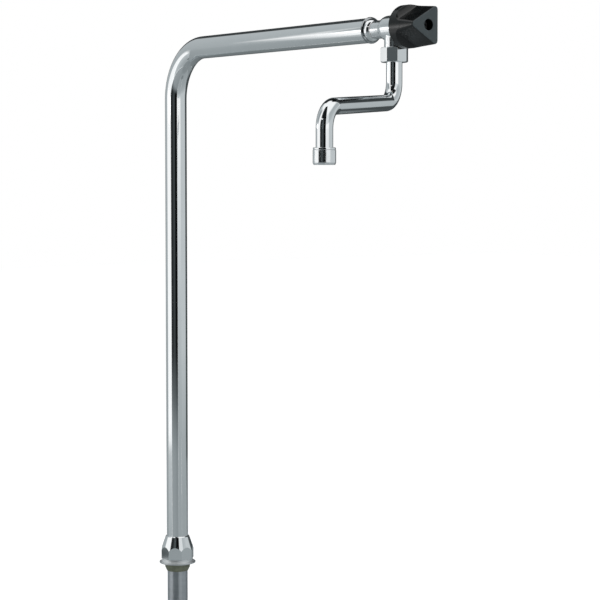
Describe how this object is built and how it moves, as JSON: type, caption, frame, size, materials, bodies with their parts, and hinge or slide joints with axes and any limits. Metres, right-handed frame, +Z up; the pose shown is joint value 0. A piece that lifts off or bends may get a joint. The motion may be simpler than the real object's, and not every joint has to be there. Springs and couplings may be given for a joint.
{
  "type": "deck-mounted filling column",
  "caption": "Swinging kitchen filling column: bent chrome tube on a deck gland, triangular knob valve at the arm's end, swivelling S-shaped spout with aerator.",
  "frame": {"origin": "centre of the deck flange's underside, on the column's axis, level with the deck's top face", "axes": "+Z up the column; +X along the arm, from the column towards the valve and knob"},
  "size_m": [0.5524, 0.1931, 0.7828],
  "materials": {
    "chrome": "polished chrome plate",
    "bare_metal": "dull turned metal",
    "zinc_steel": "stamped and zinc plated",
    "dark_steel": "black oxide",
    "brass": "turned brass",
    "black_plastic": "satin moulded plastic",
    "white_plastic": "plain moulded plastic",
    "olive_rubber": "dark olive moulded rubber",
    "black_rubber": "moulded rubber",
    "fibre": "pressed fibre"
  },
  "bodies": {
    "deck_fitting": {"threaded_shank": "bare_metal", "deck_flange": "chrome", "deck_seal": "olive_rubber", "rubber_washer": "black_rubber", "clamp_washer": "zinc_steel", "lock_nut": "brass", "shank_seal_rings": "black_rubber", "lower_slide_ring": "white_plastic", "upper_slide_ring": "white_plastic", "wiper_ring": "black_rubber", "swivel_nut": "chrome"},
    "column": {"column_tube": "chrome", "tube_collar": "brass", "arm_ferrule": "chrome", "arm_nipple": "chrome", "inlet_washer": "fibre", "valve_body": "chrome", "valve_seat": "zinc_steel", "headwork": "brass", "headwork_washer": "fibre", "thrust_washer": "white_plastic", "union_nut": "chrome", "spout_seal_ring": "black_rubber", "spout_face_washer": "white_plastic", "spout_slide_ring": "white_plastic"},
    "knob": {"spindle": "brass", "spindle_seal_rings": "black_rubber", "spindle_clip": "zinc_steel", "knob": "black_plastic", "knob_screw": "dark_steel"},
    "jumper": {"jumper": "brass", "jumper_washer": "black_rubber", "jumper_nut": "brass"},
    "spout": {"spout_tube": "chrome", "spout_collar": "brass", "outlet_ferrule": "chrome", "aerator_seal": "black_rubber", "aerator_screen": "zinc_steel", "aerator_insert": "white_plastic", "aerator_housing": "chrome"}
  },
  "joints": [
    {"name": "column_swivel", "type": "hinge", "parent": "deck_fitting", "child": "column", "pos_m": [0, 0, 0], "axis": [0, 0, 1], "continuous": true},
    {"name": "knob_turn", "type": "hinge", "parent": "column", "child": "knob", "pos_m": [0.44, 0, 0.67], "axis": [1, 0, 0], "range_deg": [0, 900]},
    {"name": "jumper_lift", "type": "slide", "parent": "column", "child": "jumper", "axis": [1, 0, 0], "range_m": [0, 0.004]},
    {"name": "spout_swivel", "type": "hinge", "parent": "column", "child": "spout", "pos_m": [0.44, 0, 0.6], "axis": [0, 0, 1], "continuous": true}
  ],
  "couplings": [
    {"joint": "jumper_lift", "follows": "knob_turn", "m_per_rad": 0.00025465}
  ]
}
